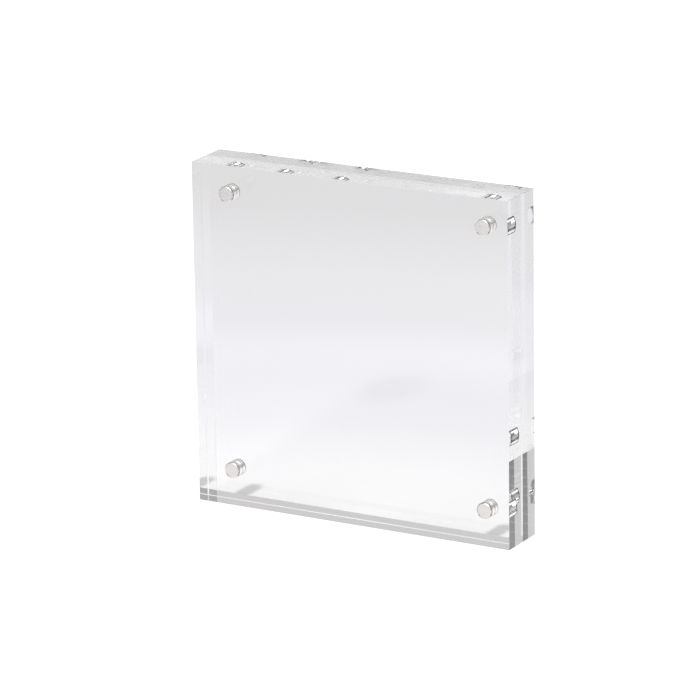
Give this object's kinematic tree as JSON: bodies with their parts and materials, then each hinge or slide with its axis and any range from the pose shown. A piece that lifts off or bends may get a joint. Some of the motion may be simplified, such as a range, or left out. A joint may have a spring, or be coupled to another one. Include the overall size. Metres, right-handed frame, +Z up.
{
  "type": "acrylic block frame",
  "caption": "Free-standing clear acrylic block frame: a front block held to a rear block by disc magnets in the corners, and pulled off to put a print between them.",
  "frame": {"origin": "middle of the footprint, on the surface that the frame stands on, in the parting plane of the blocks", "axes": "+X to the viewer's right, +Y from the front block to the rear block, +Z up"},
  "size_m": [0.127, 0.0198, 0.127],
  "materials": {
    "acrylic": "polished",
    "nickel": "polished"
  },
  "bodies": {
    "rear": {"rear_block": "acrylic", "rear_magnet_top_left": "nickel", "rear_magnet_top_right": "nickel", "rear_magnet_bottom_left": "nickel", "rear_magnet_bottom_right": "nickel"},
    "front": {"front_block": "acrylic", "front_magnet_top_left": "nickel", "front_magnet_top_right": "nickel", "front_magnet_bottom_left": "nickel", "front_magnet_bottom_right": "nickel"}
  },
  "joints": [
    {"name": "front_pull", "type": "slide", "parent": "rear", "child": "front", "axis": [0, -1, 0], "range_m": [0, 0.06]}
  ]
}
